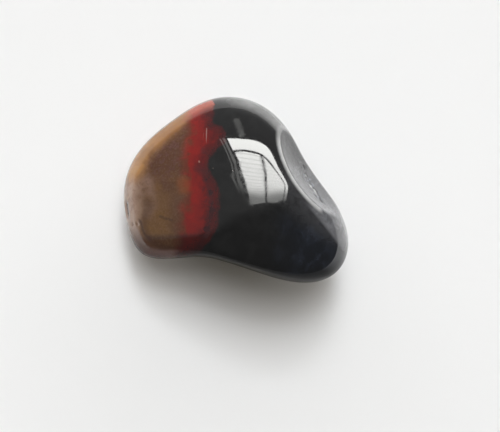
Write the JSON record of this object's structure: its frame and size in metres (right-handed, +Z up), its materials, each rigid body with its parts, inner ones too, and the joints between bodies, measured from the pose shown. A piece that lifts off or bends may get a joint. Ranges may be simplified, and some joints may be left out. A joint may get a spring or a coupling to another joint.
{
  "type": "sardonyx stone",
  "caption": "Tumbled and polished sardonyx pebble with a waist, a long lobe, a shallow scoop in one flank and tan, red and black zones.",
  "frame": {"origin": "middle of the stone's box, at the height of the flat spot that it rests on", "axes": "+X along the stone's long way, from the round tan end to the black lobe; +Y across it, away from the waist; +Z up, out of the crown"},
  "size_m": [0.0196, 0.0168, 0.0092],
  "materials": {
    "sardonyx": "polished"
  },
  "bodies": {
    "root": {"sardonyx_stone": "sardonyx"}
  },
  "joints": []
}
